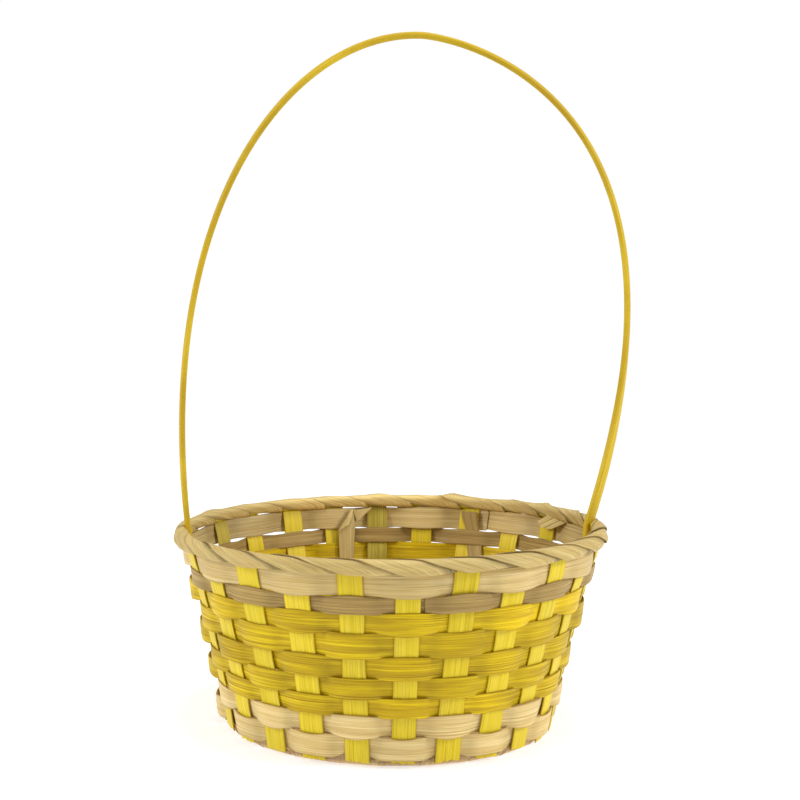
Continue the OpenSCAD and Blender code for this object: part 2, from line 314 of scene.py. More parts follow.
class Nodes:
    """Short forms for building one material's nodes."""

    def __init__(self, material):
        material.use_nodes = True
        self.tree = material.node_tree
        self.shader = self.tree.nodes["Principled BSDF"]

    def add(self, kind, links=None, **settings):
        """A new node. links holds a value or another node's output for each of its inputs."""
        node = self.tree.nodes.new("ShaderNode" + kind)
        for key, value in settings.items():
            setattr(node, key, value)
        for socket, value in (links or {}).items():
            if isinstance(value, bpy.types.NodeSocket):
                self.tree.links.new(value, node.inputs[socket])
            else:
                node.inputs[socket].default_value = value
        return node

    def math(self, operation, a, b=0.0, clamp=False):
        return self.add("Math", {0: a, 1: b}, operation=operation, use_clamp=clamp).outputs[0]

    def attribute(self, name):
        return self.add("Attribute", attribute_name=name).outputs["Fac"]

    def noise(self, place, per_metre_along, per_metre_across, detail=2.0, rough=0.55):
        """Noise stretched along the fibre: how many waves it has in a metre along and across."""
        stretched = self.add("VectorMath", {0: place, 1: (per_metre_along, per_metre_across, 1.0)},
                             operation="MULTIPLY").outputs[0]
        return self.add("TexNoise", {"Vector": stretched, "Scale": 1.0, "Detail": detail,
                                     "Roughness": rough}).outputs["Fac"]

    def remap(self, value, low, high, to_low=0.0, to_high=1.0):
        """value from low to high, smoothly turned into to_low to to_high."""
        return self.add("MapRange", {"Value": value, "From Min": low, "From Max": high,
                                     "To Min": to_low, "To Max": to_high},
                        interpolation_type="SMOOTHSTEP").outputs[0]

    def mix(self, factor, a, b, blend="MIX"):
        """Colour a with factor of colour b."""
        node = self.add("Mix", data_type="RGBA", blend_type=blend)
        for index, value in ((0, factor), (6, a), (7, b)):
            if isinstance(value, bpy.types.NodeSocket):
                self.tree.links.new(value, node.inputs[index])
            else:
                node.inputs[index].default_value = value
        return node.outputs[2]


# Waves in a metre along and across a strip, for each noise of its material
FINE = (34, 4300)
BANDS = (11, 2500)
WIDE = (8, 480)
PATCH = (20, 260)
CRACK = (13, 2300)
# How far apart the noise of one piece lies from that of another, on each axis
PIECE_SHIFT = (7.3, 3.1, 41.0)
WIDE_STRENGTH = 0.8
CUT_STRENGTH = 0.75
GLOSS = 0.22


def splint_material(name, pale, deep, blotch, line, streaks=0.6, blotches=0.5, lines=0.5,
                    rough=0.5, relief=0.12, fibre=0.5, cut_and_painted_shade=None):
    """Split bamboo: fine fibres, wider streaks, uneven dye and thin dark lines, all along the strip."""
    material = bpy.data.materials.new(name)
    n = Nodes(material)
    place = n.add("UVMap", uv_map="fibre").outputs[0]
    piece = n.attribute("piece")
    shifts = {axis: n.math("MULTIPLY", piece, size) for axis, size in enumerate(PIECE_SHIFT)}
    shift = n.add("CombineXYZ", shifts).outputs[0]
    place = n.add("VectorMath", {0: place, 1: shift}, operation="ADD").outputs[0]
    fine = n.noise(place, *FINE, detail=1.0, rough=0.6)
    bands = n.noise(place, *BANDS, detail=2.0, rough=0.6)
    wide = n.noise(place, *WIDE, detail=2.0)
    patch = n.noise(place, *PATCH, detail=3.0, rough=0.6)
    crack = n.noise(place, *CRACK, detail=1.0)
    amount = n.math("ADD", n.math("MULTIPLY", n.remap(bands, 0.42, 0.58), streaks),
                    n.math("MULTIPLY", n.remap(fine, 0.38, 0.62), fibre))
    uneven = n.math("MULTIPLY", n.math("SUBTRACT", wide, 0.5), WIDE_STRENGTH)
    amount = n.math("ADD", amount, uneven, clamp=True)
    colour = n.mix(amount, pale, deep)
    colour = n.mix(n.math("MULTIPLY", n.remap(patch, 0.45, 0.62), blotches), colour, blotch)
    dark = n.math("MULTIPLY", n.remap(crack, 0.60, 0.70), lines)
    colour = n.mix(dark, colour, line)
    # At its edges a strip takes the cut colour: the cut face's own colour, darkened further as painted shade
    # where strips meet
    edge = n.remap(n.attribute("edge"), 0.9, 1.0)
    if cut_and_painted_shade is not None:
        colour = n.mix(n.math("MULTIPLY", edge, CUT_STRENGTH), colour, cut_and_painted_shade)
    # The tone attribute scales the colour: random tone, and the painted shade and painted light that the
    # weavers, winding and base set in it
    tone = n.attribute("tone")
    shade = n.add("CombineColor", {0: tone, 1: tone, 2: tone}).outputs[0]
    colour = n.mix(1.0, colour, shade, blend="MULTIPLY")
    n.tree.links.new(colour, n.shader.inputs["Base Color"])
    n.tree.links.new(n.remap(bands, 0.2, 0.8, rough - 0.09, rough + 0.11), n.shader.inputs["Roughness"])
    height = n.math("ADD", n.math("MULTIPLY", fine, 0.5), n.math("MULTIPLY", bands, 0.9))
    height = n.math("SUBTRACT", height, n.math("MULTIPLY", dark, 0.6))
    bump = n.add("Bump", {"Height": height, "Strength": 0.75, "Distance": relief * MM})
    n.tree.links.new(bump.outputs[0], n.shader.inputs["Normal"])
    n.shader.inputs["Specular IOR Level"].default_value = GLOSS
    return material


yellow = splint_material("stake_yellow", pale=linear(228, 206, 50), deep=linear(200, 172, 8),
                         blotch=linear(222, 198, 74), line=linear(158, 130, 0),
                         streaks=0.4, blotches=0.35, lines=0.5, fibre=0.5, cut_and_painted_shade=linear(172, 144, 10))
dull_yellow = splint_material("stake_dull", pale=linear(198, 180, 84), deep=linear(156, 136, 30),
                              blotch=linear(182, 164, 72), line=linear(122, 102, 18),
                              streaks=0.7, blotches=0.5, lines=0.6, fibre=0.4)
gold = splint_material("weaver_gold", pale=linear(230, 201, 14), deep=linear(184, 151, 0),
                       blotch=linear(174, 142, 6), line=linear(128, 94, 0),
                       streaks=0.7, blotches=0.7, lines=0.7, fibre=0.5, cut_and_painted_shade=linear(150, 118, 4))
natural = splint_material("natural", pale=linear(234, 211, 152), deep=linear(198, 169, 104),
                          blotch=linear(208, 176, 104), line=linear(142, 108, 54),
                          streaks=0.55, blotches=0.5, lines=0.5, fibre=0.5, cut_and_painted_shade=linear(170, 138, 82))
grey = splint_material("natural_grey", pale=linear(190, 162, 96), deep=linear(140, 112, 58),
                       blotch=linear(160, 130, 76), line=linear(104, 78, 36),
                       streaks=0.55, blotches=0.6, lines=0.5, fibre=0.45, cut_and_painted_shade=linear(134, 106, 60))
wrap = splint_material("wrap_natural", pale=linear(216, 194, 132), deep=linear(180, 153, 90),
                       blotch=linear(192, 164, 96), line=linear(140, 110, 52),
                       streaks=0.5, blotches=0.5, lines=0.65, fibre=0.6, cut_and_painted_shade=linear(128, 98, 44))
base = splint_material("base_natural", pale=linear(218, 190, 138), deep=linear(184, 150, 102),
                       blotch=linear(200, 160, 124), line=linear(118, 88, 56),
                       streaks=0.5, blotches=0.6, lines=0.5, fibre=0.4, rough=0.58)
cane = splint_material("handle_yellow", pale=linear(212, 182, 44), deep=linear(176, 142, 8),
                       blotch=linear(188, 152, 30), line=linear(140, 106, 8),
                       streaks=0.4, blotches=0.6, lines=0.3, fibre=0.15, rough=0.42, relief=0.04)


# ---------------------------------------------------------------- the weave
# How far a row stands out from the stakes' middle line over a stake, and in behind one
OUT_SWING = 2.0
IN_SWING = 1.25
# An outer pass stands upright, so that its lower edge juts out of the leaning wall
UPRIGHT = 0.55
# The odd rows below the top one swing out further over the handle's legs: stake, and how much further
LEG_SWING = {0: 1.8, STAKES // 2: 0.8}
LEG_THICKNESS = 1.2
LEG_STAKES = (0, STAKES // 2)
HANDLE_PLANE = FIRST_TURN + 90
# The lowest row that holds the handle's legs, and the highest that holds the base strips' ends
LOWEST_LEG_ROW = 4
HIGHEST_BASE_ROW = 8
LAP_STEP = WEAVER_THICKNESS + SLIP
# How far a row laps over its own start, in stakes; a hidden lap ends behind a stake
ROW_LAP = {1: 2.0, 2: 2.0, 7: 2.6}
HIDDEN_LAP = 1.6
# Length over which a strip moves across to lie on its own start, in stakes
LAP_EASE = 0.5
STEPS_A_STAKE = 12
# How much wider each row is where it bows out over a stake, at its lower and its upper edge
BELLY = {1: (0.9, 0.1), 2: (-0.5, 1.2), 3: (1.3, 0.3), 4: (-0.3, -0.9), 5: (-0.6, 0.3), 6: (0.0, -0.2),
         7: (-1.2, -0.2), 8: (1.4, 0.2), 9: (-0.6, -1.3)}
BELLY_POWER = 3
# Where it passes inside a stake, a row widens by this part of that
INNER_BELLY = 0.6
# How unsteady a row's swing, its height and its edges are
SWAY = 0.16
ROW_WANDER = 0.22
EDGE_WANDER = 0.12
# The rows are beaten close together, the top two less so: each is this much wider than its place,
# at each edge
TIGHT = 0.65
TIGHT_AT_TOP = 0.25
TOP_ROW_RISE = 0.7
# A strip has painted shade where it dives under the next stake: by how much, and from where over how many
# stakes
DIVE_SHADE = 0.1
DIVE_FROM = 0.2
DIVE_LENGTH = 0.3
# Where each row starts, in stakes
ROW_START = {1: 15.58, 2: 6.3, 3: 19.5, 4: 10.5, 5: 1.5, 6: 14.5, 7: 20.5, 8: 8.5, 9: 17.5}
# Where a row is brighter or darker than the rest of it: painted shade on the inside of rows 1 and 2 at the
# back left and of row 1 at the right, painted light on row 3 at the front right, and row 7 lighter at the
# front. Stake place, and by how much
UNEVEN_AND_PAINTED_LIGHT = {1: ((22.4, -0.26), (20.3, -0.13), (12.9, -0.16)), 2: ((22.4, -0.1),), 3: ((8.9, 0.24),),
          7: ((6.0, 0.08),)}
UNEVEN_AND_PAINTED_LIGHT_SPREAD = 1.5
# How unevenly the rows have taken their colour along their length
DYE_WANDER = {"weaver_gold": 0.07, "natural": 0.04, "natural_grey": 0.05}
# The start of row 2 lies outside its end; on every other row the end lies outside
LAP_SIDE = {2: -1}
ROW_LOOK = {1: (natural, "natural", 0.93), 2: (grey, "natural_grey", 1.0), 3: (gold, "weaver_gold", 1.04),
            4: (gold, "weaver_gold", 0.98), 5: (gold, "weaver_gold", 0.94), 6: (gold, "weaver_gold", 0.97),
            7: (gold, "weaver_gold", 1.06), 8: (natural, "natural", 1.01), 9: (natural, "natural", 1.03)}


# Below 1, a row stays over each stake for longer and dives more steeply
SWING_POWER = 0.6


def passes_outside(k, row):
    """Whether a row lies outside the stake nearest to place k."""
    return (np.round(k) + row) % 2 == 1


def bulge(x):
    """How far a strip has swung over, x stakes away from the stake that it crosses: 1 is all the way."""
    return np.cos(np.pi * np.clip(x, -0.5, 0.5)) ** SWING_POWER


def build_weaver(row):
    """One row: a strip that goes once round in and out of the stakes, and laps over its own start."""
    rng = np.random.default_rng(100 + row)
    lap_stakes = ROW_LAP.get(row, HIDDEN_LAP)
    s = np.linspace(0, STAKES + lap_stakes, round((STAKES + lap_stakes) * STEPS_A_STAKE) + 1)
    k = ROW_START[row] + s
    nearest = np.round(k)
    x = k - nearest
    outside = passes_outside(k, row)
    swing = bulge(x)
    sway = wander(rng, k, 1.0, SWAY)
    behind = np.where(row >= HIGHEST_BASE_ROW, BASE_THICKNESS + SLIP, 0.0)
    legs = np.isin(nearest % STAKES, LEG_STAKES) & (row <= LOWEST_LEG_ROW)
    behind = np.where(legs, LEG_THICKNESS + SLIP, behind)
    reach = np.where(outside, OUT_SWING + sway, IN_SWING + behind)
    if row > 2:
        for leg_stake, extra in LEG_SWING.items():
            reach = reach + np.where(outside & (nearest % STAKES == leg_stake), extra, 0.0)
    lap = smooth((s - STAKES + LAP_EASE) / LAP_EASE) - (1 - smooth((s - lap_stakes) / LAP_EASE))
    lap = lap * LAP_SIDE.get(row, 1)
    offset = np.where(outside, 1, -1) * swing * (reach + np.abs(lap) * LAP_STEP / 2) + lap * LAP_STEP / 2
    low, high = ROW_SPAN[row]
    middle = (low + high) / 2 + wander(rng, k, 2.5, ROW_WANDER)
    half = (high - low) / 2 + (TIGHT if row > 2 else TIGHT_AT_TOP)
    belly = swing ** BELLY_POWER * np.where(outside, 1.0, INNER_BELLY)
    lower = half + BELLY[row][0] * belly + wander(rng, k, 0.9, EDGE_WANDER)
    upper = half + BELLY[row][1] * belly + wander(rng, k, 0.9, EDGE_WANDER)
    if row == 1:
        upper = upper + TOP_ROW_RISE
    a = stake_angle(k)
    centre = out(a) * (wall_radius(middle) + offset)[:, None] + UP * middle[:, None]
    lean = WALL_SLOPE * (1 - np.where(outside, UPRIGHT * swing, 0.0))[:, None]
    side = unit(UP + out(a) * lean)
    normal = unit(out(a) - UP * lean)
    material, slot, tone = ROW_LOOK[row]
    # Painted shade where the strip dives under the next stake
    dive = smooth((np.abs(x) - DIVE_FROM) / DIVE_LENGTH)
    uneven = wander(rng, k, 0.8, DYE_WANDER[slot])
    # Painted shade on the inside of rows 1 and 2, painted light on row 3, and row 7 lighter at the front
    for place, change in UNEVEN_AND_PAINTED_LIGHT.get(row, ()):
        uneven = uneven + change * np.exp(-((k % STAKES - place) / UNEVEN_AND_PAINTED_LIGHT_SPREAD) ** 2)
    tones = tone * (1 + uneven) * (1 - DIVE_SHADE * dive)
    strip = splint(centre, side, normal, lower, upper, WEAVER_THICKNESS, columns=13, crown=0.22,
                   tone=tones, start_cut=straight_cut(0.2, 0.3), end_cut=straight_cut(0.2, -0.4),
                   relief=0.035, seed=row)
    make_piece(f"weaver_{row}_splint", [strip], material, [f"weaver_{row}"], seed=row)


# Height of the stakes' feet, with the ones that aren't at the usual height
STAKE_LOW = 2.2
STAKE_LOW_AT = {1: 3.4, 3: 2.6, 5: 3.1, 6: 3.0, 7: 3.2, 9: 3.0}
# How far a stake gives way to each row, and how far out its foot stands
STAKE_SWING = 0.3
FOOT_SWING = 0.35
STAKE_STATIONS = 90
# Stakes that are wider than the rest, at the foot and at the rim
STAKE_WIDER = {1: (0.4, 1.2), 2: (0.6, 1.2), 3: (0.6, 2.2), 4: (1.2, 1.6), 7: (0.4, 1.2), 8: (1.0, 0.4),
               16: (0.5, 0.8)}
# Stakes whose dye has stayed dull
DULL_STAKES = (18, 22)


def build_stake(k):
    """One upright stake, which gives way a little to each row and ends between the rim's hoops."""
    rng = np.random.default_rng(200 + k)
    foot = STAKE_LOW_AT.get(k, STAKE_LOW)
    z = np.linspace(foot, HOOP_TOP - 0.6, STAKE_STATIONS)
    upward = sorted(ROWS, key=lambda row: sum(ROW_SPAN[row]))
    middles = [sum(ROW_SPAN[row]) / 2 for row in upward]
    swings = [-STAKE_SWING if passes_outside(k, row) else STAKE_SWING for row in upward]
    # Inside the rim the stake stands on the wall's own line
    levels = np.array([foot, *middles, HOOP_BOTTOM])
    sways = np.array([FOOT_SWING, *swings, 0.0])
    i = np.clip(np.searchsorted(levels, z, side="right") - 1, 0, len(levels) - 2)
    f = smooth((z - levels[i]) / (levels[i + 1] - levels[i]))
    swing = sways[i] * (1 - f) + sways[i + 1] * f
    a = stake_angle(k) + wander(rng, z, 40.0, 0.14)
    centre = out(a) * (wall_radius(z) + swing)[:, None] + UP * z[:, None]
    slope = np.gradient(wall_radius(z) + swing, z)[:, None]
    normal = unit(out(a) - UP * slope)
    wider_foot, wider_rim = STAKE_WIDER.get(k, (0.0, 0.0))
    half = (STAKE_WIDTH + wider_foot + (wider_rim - wider_foot) * z / RIM_TOP) / 2
    half = half + wander(rng, z, 30.0, 0.16)
    lower = half + wander(rng, z, 9.0, 0.07)
    upper = half + wander(rng, z, 9.0, 0.07)
    tone = rng.normal(1.0, 0.02) * (1 + wander(rng, z, 25.0, 0.02))
    strip = splint(centre, along(a), normal, lower, upper, STAKE_THICKNESS, columns=15, crown=0.12,
                   tone=tone, start_cut=frayed_cut(0.7, rng.normal(0, 0.5)),
                   end_cut=straight_cut(0.15), relief=0.03, seed=k)
    number = k if k else STAKES
    material = dull_yellow if k in DULL_STAKES else yellow
    make_piece(f"stake_{number:02d}_splint", [strip], material, [f"stake_{number:02d}"],
               seed=30 + k)


for row in ROWS:
    build_weaver(row)
for k in range(STAKES):
    build_stake(k)


# ---------------------------------------------------------------- rim
BUNDLE_MIDDLE = (HOOP_TOP + HOOP_BOTTOM) / 2
BUNDLE_HALF_HEIGHT = (HOOP_TOP - HOOP_BOTTOM) / 2
INNER_HOOP_INNER = INNER_HOOP_OUTER - RIM_INNER_THICKNESS
BUNDLE_RADIUS = (HOOP_OUTER + INNER_HOOP_INNER) / 2
BUNDLE_HALF_WIDTH = (HOOP_OUTER - INNER_HOOP_INNER) / 2
SQUARENESS = 3.2
HOOP_STATIONS = 181
# Where the hoops' joints are, and how wide the gap in them is, in degrees
OUTER_JOINT = 112
INNER_JOINT = 40
JOINT_GAP = 0.6
# How much less than its full half height and its full thickness a hoop has, to stay under the winding
HOOP_EASE_HEIGHT = 0.4
HOOP_EASE_THICKNESS = 0.5


def bundle(angle, grow):
    """Radius and height on the rounded outline of the rim bundle, let out by grow."""
    c, s = np.cos(angle), np.sin(angle)
    size = (np.abs(c) ** SQUARENESS + np.abs(s) ** SQUARENESS) ** (-1 / SQUARENESS)
    return (BUNDLE_RADIUS + (BUNDLE_HALF_WIDTH + grow) * size * c,
            BUNDLE_MIDDLE + (BUNDLE_HALF_HEIGHT + grow) * size * s)


def build_hoop(name, inner, outer, joint):
    """One hoop: a flat cane ring with rounded edges and a butt joint."""
    a = joint + np.linspace(0, 360 - JOINT_GAP, HOOP_STATIONS)
    radius = (inner + outer) / 2
    centre = out(a) * radius + UP * BUNDLE_MIDDLE
    half = np.full(len(a), BUNDLE_HALF_HEIGHT - HOOP_EASE_HEIGHT)
    thickness = outer - inner - HOOP_EASE_THICKNESS
    strip = splint(centre, np.broadcast_to(UP, centre.shape), out(a), half, half, thickness, crown=0.2,
                   seed=5)
    make_piece(f"{name}_cane", [strip], yellow, [name], seed=60 + len(name))


build_hoop("rim_hoop_outer", HOOP_OUTER - RIM_OUTER_THICKNESS, HOOP_OUTER, OUTER_JOINT)
build_hoop("rim_hoop_inner", INNER_HOOP_INNER, INNER_HOOP_OUTER, INNER_JOINT)

WRAP_TURNS = STAKES // 2
STATIONS_A_TURN = 40
WRAP_COLUMNS = 15
# Corners of one turn, counted down the outer face from the top: part of the outline gone round,
# part of the turn's advance, and half the strip's spread in stakes
TURN_AT = np.array([0.00, 0.12, 0.22, 0.30, 0.38, 0.47, 0.53, 0.62, 0.75, 0.88, 1.00])
TURN_SHARE = np.array([0.00, 0.13, 0.25, 0.34, 0.41, 0.45, 0.47, 0.52, 0.62, 0.80, 1.00])
TURN_SPREAD = np.array([0.60, 0.60, 0.60, 0.56, 0.45, 0.35, 0.35, 0.42, 0.56, 0.60, 0.60])
# Part of the turn's advance where it passes under the rim
UNDER_SHARE = 0.46
# How far the winding stays off the bundle
WRAP_EASE = 0.05
# How far the trailing edge of a turn stands over the turn before, and how far its middle swells
EDGE_LIFT = 1.25
EDGE_LIFT_POWER = 2.2
LEAF_CROWN = 0.25
# Away from the lower outer corner of the rim a turn lies closer: this part of its lift
LIFT_ELSEWHERE = 0.65
# How far the handle's legs dent the rim, and over how many degrees
LEG_DENT = 1.8
DENT_SPREAD = 4.0
# How far a turn hangs loose at the lower outer corner of the rim
HANG = 0.55
# Where the edge of a turn stands up on top of the rim: stake place, and how far
RAISED = {17.9: 0.9, 16.45: 2.6, 14.9: 0.9, 14.2: 1.1, 12.9: 1.3, 22.2: 0.9}
RAISED_SPREAD = 0.22
RAISED_POWER = 1.2
WRAP_HALF_WIDTH = 7.0
WRAP_TONE = 0.96
# A turn has painted shade where the next one comes up over it, from and to these places across it, and less
# so inside the rim
SEAM = (0.25, 0.68)
SEAM_POWER = 5
SEAM_SHADE = 0.55
SEAM_SHADE_INSIDE = 0.33
# The winding has painted light inside the rim at the back, where the lamps reach less
INSIDE_PAINTED_LIGHT = 0.45
BACK_POWER = 8


def wrap_strand(strand):
    """One strip of the winding as grids of angle, radius, height and tone.

    Its trailing edge lies over the leading edge of the turn before.
    """
    rng = np.random.default_rng(300 + strand)
    t = np.linspace(0.5, WRAP_TURNS + 0.5, WRAP_TURNS * STATIONS_A_TURN + 1)
    gone = t % 1.0
    turn = np.floor(t)
    share = np.interp(gone, TURN_AT, TURN_SHARE)
    spread = np.interp(gone, TURN_AT, TURN_SPREAD) * (1 + wander(rng, t, 0.5, 0.03))
    k = strand - 0.5 + 2 * (turn + share - UNDER_SHARE) + wander(rng, t, 0.6, 0.05)
    angle = math.pi / 2 - 2 * math.pi * gone
    v = np.linspace(-1, 1, WRAP_COLUMNS)
    where = k[:, None] + v[None, :] * spread[:, None]
    a = stake_angle(where)
    crown = 1 - v[None, :] ** 2
    trailing = (1 - v[None, :]) / 2
    # Each of these is 1 in one part of the rim's section: its lower outer corner, its top, its inner face
    low = smooth((0.1 - np.sin(angle)) / 0.7) * smooth((np.cos(angle) + 0.2) / 0.6)
    top = smooth((np.sin(angle) - 0.3) / 0.6)[:, None]
    inside = smooth(0.3 - np.cos(angle))[:, None]
    loose = (HANG + wander(rng, t, 0.5, 0.35)) * low
    swell = wander(rng, t, 0.5, 0.16)
    lift = EDGE_LIFT * trailing ** EDGE_LIFT_POWER + LEAF_CROWN * crown
    lift = lift * (LIFT_ELSEWHERE + (1 - LIFT_ELSEWHERE) * low[:, None])
    for place, extra in RAISED.items():
        near = np.exp(-((where - place) / RAISED_SPREAD) ** 2)
        lift = lift + extra * near * top * trailing ** RAISED_POWER
    radius, height = bundle(angle[:, None], WRAP_EASE + lift + swell[:, None] + loose[:, None] * crown)
    for leg_angle in (HANDLE_PLANE, HANDLE_PLANE - 180, HANDLE_PLANE + 180):
        radius = radius + LEG_DENT * inside * np.exp(-((a - leg_angle) / DENT_SPREAD) ** 2)
    # Painted shade along each turn where the next turn laps over it
    painted_seam_shade = smooth((v[None, :] - SEAM[0]) / (SEAM[1] - SEAM[0])) ** SEAM_POWER
    at_back = ((1 - np.cos(2 * math.pi * (where - FRONT_STAKE) / STAKES)) / 2) ** BACK_POWER
    # Painted light on the inside of the rim at the back
    tone = (WRAP_TONE + INSIDE_PAINTED_LIGHT * inside * at_back) * (1 + wander(rng, t, 0.5, 0.04))[:, None]
    tone = tone * (1 - (SEAM_SHADE + (SEAM_SHADE_INSIDE - SEAM_SHADE) * inside) * painted_seam_shade)
    return a, radius, height, tone


def build_wrap(strand):
    """One strip of the winding with its loose ends."""
    a, radius, height, tone = wrap_strand(strand)
    mid_point = out(a) * radius[..., None] + UP * height[..., None]
    du = np.gradient(mid_point, axis=0)
    dv = np.gradient(mid_point, axis=1)
    normal = unit(np.cross(dv, du))
    top = mid_point + normal * WRAP_THICKNESS / 2
    bottom = mid_point - normal * WRAP_THICKNESS / 2
    winding = grid_splint(top, bottom, WRAP_HALF_WIDTH, tone)
    make_piece(f"rim_wrap_{strand}_splint", [winding, *LOOSE_ENDS[strand]], wrap,
               [f"rim_wrap_{strand}"], seed=80 + strand)


def on_wall(k, z, inward):
    """A point inward of the stakes' own line, at stake place k and height z."""
    k, z, inward = (np.asarray(x, dtype=float) for x in (k, z, inward))
    return out(stake_angle(k)) * (wall_radius(z) - inward)[..., None] + UP * z[..., None]


LOOSE_STATIONS = 24
LOOSE_COLUMNS = 7


def loose_strip(first, last, tone=1.0, half_width=4.0, thickness=0.5):
    """A strip between two edges. Each edge is a list of corners: stake place, height, inward."""
    edges = []
    for corners in (first, last):
        corners = np.array(corners, dtype=float)
        at = np.linspace(0, len(corners) - 1, LOOSE_STATIONS)
        edges.append(np.stack([np.interp(at, np.arange(len(corners)), c) for c in corners.T], axis=-1))
    f = np.linspace(0, 1, LOOSE_COLUMNS)[None, :, None]
    grid = edges[0][:, None, :] * (1 - f) + edges[1][:, None, :] * f
    points = on_wall(grid[..., 0], grid[..., 1], grid[..., 2])
    inward = -out(stake_angle(grid[..., 0])) * thickness / 2
    return grid_splint(points + inward, points - inward, half_width, tone)


# A grey end that hangs inside the rim, and the ends of each strip of the winding that show there
GREY_TAIL = loose_strip([(16.16, 107.2, 2.2), (16.14, 104.0, 1.9), (16.02, 95.0, 0.75), (15.97, 86.0, 0.75),
                         (15.88, 77.5, 1.4)],
                        [(15.80, 107.2, 2.2), (15.80, 104.0, 1.9), (15.72, 95.0, 0.75), (15.62, 86.0, 0.75),
                         (15.56, 78.8, 1.4)], half_width=5.0, thickness=0.4)
LOOSE_ENDS = {
    1: [
        # A folded tail: it comes down from under the rim, and is bent over on itself
        loose_strip([(18.62, 107.0, 2.2), (18.95, 96.0, 3.4), (18.95, 76.5, 3.2)],
                    [(18.55, 107.0, 2.2), (18.52, 97.5, 3.4), (18.60, 76.0, 3.2)], tone=0.93),
        loose_strip([(18.62, 107.6, 3.6), (18.72, 103.0, 4.6), (18.96, 94.6, 4.8)],
                    [(18.56, 107.6, 3.6), (18.60, 103.0, 4.6), (18.68, 98.4, 4.8)], tone=1.02,
                    half_width=2.5),
        loose_strip([(18.56, 106.8, 2.6), (18.48, 100.0, 2.4)], [(18.1, 108.5, 2.2), (18.42, 100.6, 2.4)],
                    tone=0.98),
    ],
    2: [
        # A cut end that sticks out from under the rim, its fibres apart
        loose_strip([(13.94, 111.0, 2.6), (14.16, 106.4, 5.0)], [(13.76, 110.0, 2.6), (14.08, 104.6, 5.2)],
                    tone=0.96, half_width=2.0),
        loose_strip([(13.74, 110.0, 2.4), (14.05, 104.6, 5.6)], [(13.56, 109.2, 2.4), (13.94, 103.2, 5.6)],
                    tone=1.04, half_width=2.0),
        loose_strip([(13.54, 109.2, 2.6), (13.90, 103.4, 5.0)], [(13.32, 108.6, 2.6), (13.70, 103.4, 4.8)],
                    tone=0.92, half_width=2.0),
    ],
}


for strand in (1, 2):
    build_wrap(strand)
make_piece("grey_tail", [GREY_TAIL], grey, seed=88)


# ---------------------------------------------------------------- base
BASE_STRIPS = STAKES // 4
BASE_PITCH = 22.0
# Half the width of a base strip in the mat, where it folds up, and beside its stake
BASE_HALF_WIDTH = 10.2
FOLD_HALF_WIDTH = 12.3
TAB_HALF_WIDTH = 5.4
# A strip widens toward its fold, from this far inside its turned-up end and over this length, and
# narrows again as it goes up, from this height and over this height
FOLD_FROM = 24.0
FOLD_OVER = 12.0
NARROW_FROM = 2.6
NARROW_OVER = 4.4
# The strips have painted shade where they go up behind the lowest row: by how much, from what height, and
# over what height
FOLD_SHADE = 0.42
SHADE_FROM = 1.6
SHADE_OVER = 2.0
MAT_HALF = BASE_THICKNESS / 2 + 0.05
MAT_MIDDLE = MAT_HALF + BASE_THICKNESS / 2
TURN_RADIUS = 3.5
TAB_OFFSET = STAKE_THICKNESS / 2 + SLIP + BASE_THICKNESS / 2
TAB_RADIUS = wall_radius(MAT_MIDDLE + TURN_RADIUS) - TAB_OFFSET
MAT_TURN = FIRST_TURN - PITCH / 2
TAB_TOP = 28.0
MAT_STATIONS = 39
RUN_IN_STATIONS = 8
BEND_STATIONS = 10
TAB_STATIONS = 14
MIRROR = np.array([-1.0, 1.0, 1.0])


def mirrored(half):
    """The left half of what runs along a strip, from its right half, without the middle itself."""
    return half[1:][::-1]


def base_half(i, parity, tab_top):
    """The right half of base strip i, from its middle out: its points and the direction across it."""
    from_middle = i - (BASE_STRIPS - 1) / 2
    y0 = from_middle * BASE_PITCH
    x = np.linspace(0, BASE_STRIPS / 2 * BASE_PITCH, MAT_STATIONS + 1)[:-1]
    # Crossing j lies at (j - 2.5) pitches, so the wave turns at each half pitch
    wave = parity * np.cos(np.pi * (x / BASE_PITCH - 0.5))
    mat = np.stack([x, np.full_like(x, y0), MAT_MIDDLE + MAT_HALF * wave], axis=-1)
    # Beyond the mat the strip turns toward its stake, bends up and stands inside the wall
    b = math.radians(from_middle * PITCH)
    e = np.array([math.cos(b), math.sin(b), 0.0])
    f = np.linspace(0.15, 0.95, RUN_IN_STATIONS)[:, None]
    mat_end = np.array([x[-1] + 2.0, y0, MAT_MIDDLE])
    bend_start = e * (TAB_RADIUS - TURN_RADIUS) + UP * MAT_MIDDLE
    run_in = mat_end * (1 - f) + bend_start * f
    t = np.radians(np.linspace(0, 90, BEND_STATIONS))[:, None]
    bend = bend_start + TURN_RADIUS * (e * np.sin(t) + UP * (1 - np.cos(t)))
    z = np.linspace(MAT_MIDDLE + TURN_RADIUS + 1.0, tab_top, TAB_STATIONS)[:, None]
    rise = e * (wall_radius(z) - TAB_OFFSET) + UP * z
    turned = np.concatenate([np.zeros(len(x)), f[:, 0], np.ones(BEND_STATIONS + TAB_STATIONS)])[:, None]
    across = np.array([0.0, 1.0, 0.0]) * (1 - turned) + np.array([-e[1], e[0], 0.0]) * turned
    return np.concatenate([mat, run_in, bend, rise]), unit(across)


